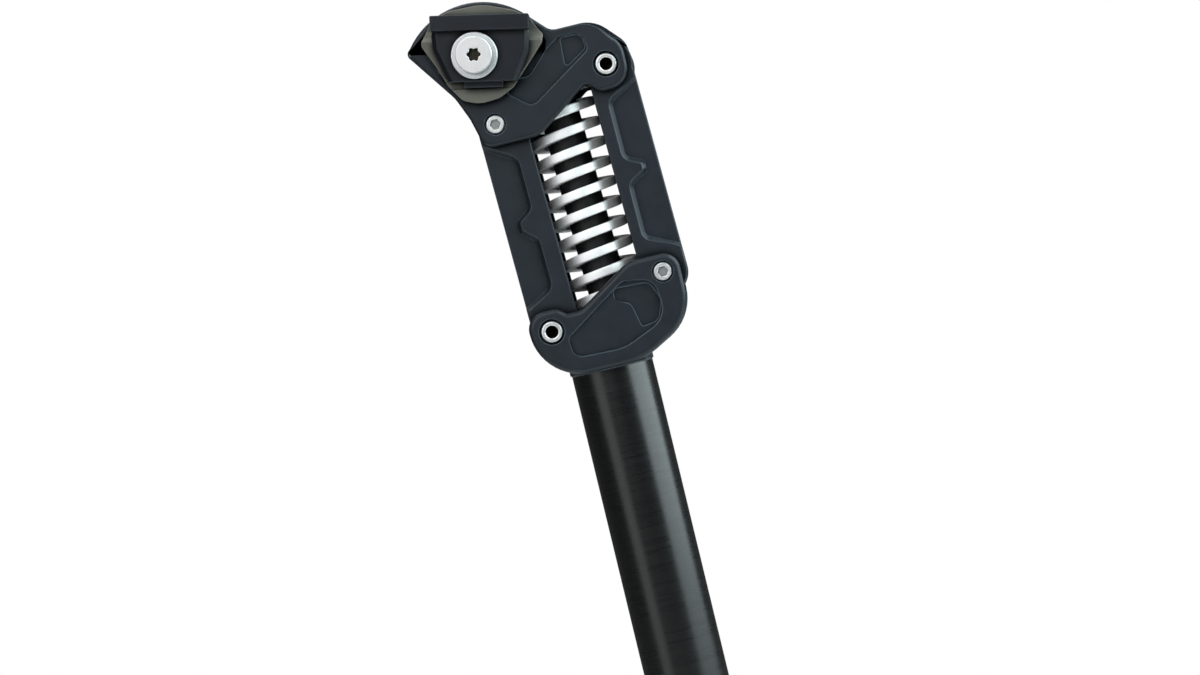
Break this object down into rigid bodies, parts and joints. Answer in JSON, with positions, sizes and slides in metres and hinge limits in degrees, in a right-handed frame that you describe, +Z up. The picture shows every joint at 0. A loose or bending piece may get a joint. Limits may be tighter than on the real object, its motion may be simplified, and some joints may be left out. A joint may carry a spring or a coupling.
{
  "type": "suspension seatpost",
  "caption": "Round bicycle post with a parallelogram head: side links, a coil spring between them and a clamp for saddle rails.",
  "frame": {"origin": "on the post tube's axis at its lower end", "axes": "+Z up along the post, +X to the front of the bicycle, +Y to the rider's left"},
  "size_m": [0.0722, 0.063, 0.3661],
  "materials": {
    "post": "satin black anodised tube",
    "forging": "fine blasted, blue-black anodised",
    "outer_jaw": "satin black anodised",
    "inner_jaw": "grey-olive hard anodised",
    "spring": "ground flat spring wire",
    "elastomer": "matt black",
    "steel": "turned stainless steel",
    "bronze": "lined bush",
    "plastic": "moulded, matt"
  },
  "bodies": {
    "post": {"post_tube": "post", "lower_knuckle": "forging", "rear_lower_axle": "steel", "front_lower_axle": "steel", "front_lower_axle_screws": "steel"},
    "rear_link": {"rear_link": "forging", "rear_link_lower_bushes": "bronze", "rear_link_upper_bushes": "bronze", "lower_spring_seat": "plastic", "coil_spring": "spring", "elastomer_core": "elastomer"},
    "front_link": {"front_link": "forging", "front_link_lower_bushes": "bronze", "front_link_upper_bushes": "bronze", "upper_spring_seat": "plastic"},
    "head": {"head": "forging", "rear_upper_axle": "steel", "rear_upper_axle_screws": "steel", "front_upper_axle": "steel"},
    "saddle_clamp": {"clamp_barrel": "steel", "inner_jaw_right": "inner_jaw", "inner_jaw_left": "inner_jaw"},
    "right_jaw": {"outer_jaw_right": "outer_jaw", "clamp_washer_right": "steel", "clamp_screw_right": "steel"},
    "left_jaw": {"outer_jaw_left": "outer_jaw", "clamp_washer_left": "steel", "clamp_screw_left": "steel"}
  },
  "joints": [
    {"name": "rear_link_swing", "type": "hinge", "parent": "post", "child": "rear_link", "pos_m": [-0.0158, 0, 0.2556], "axis": [0, -1, 0], "range_deg": [0, 40], "stiffness_Nm_per_rad": 42, "springref_deg": -13.75, "deforming": ["coil_spring", "elastomer_core"]},
    {"name": "front_link_swing", "type": "hinge", "parent": "post", "child": "front_link", "pos_m": [0.02388, 0, 0.26631], "axis": [0, -1, 0], "range_deg": [0, 40]},
    {"name": "head_level", "type": "hinge", "parent": "rear_link", "child": "head", "pos_m": [-0.01788, 0, 0.32557], "axis": [0, -1, 0], "range_deg": [-40, 0]},
    {"name": "saddle_tilt", "type": "hinge", "parent": "head", "child": "saddle_clamp", "pos_m": [-0.0187, 0, 0.3483], "axis": [0, -1, 0], "range_deg": [-12, 12]},
    {"name": "right_jaw_open", "type": "slide", "parent": "saddle_clamp", "child": "right_jaw", "axis": [0, -1, 0], "range_m": [0, 0.008]},
    {"name": "left_jaw_open", "type": "slide", "parent": "saddle_clamp", "child": "left_jaw", "axis": [0, 1, 0], "range_m": [0, 0.008]}
  ],
  "couplings": [
    {"joint": "front_link_swing", "follows": "rear_link_swing", "ratio": 1},
    {"joint": "head_level", "follows": "rear_link_swing", "ratio": -1}
  ]
}
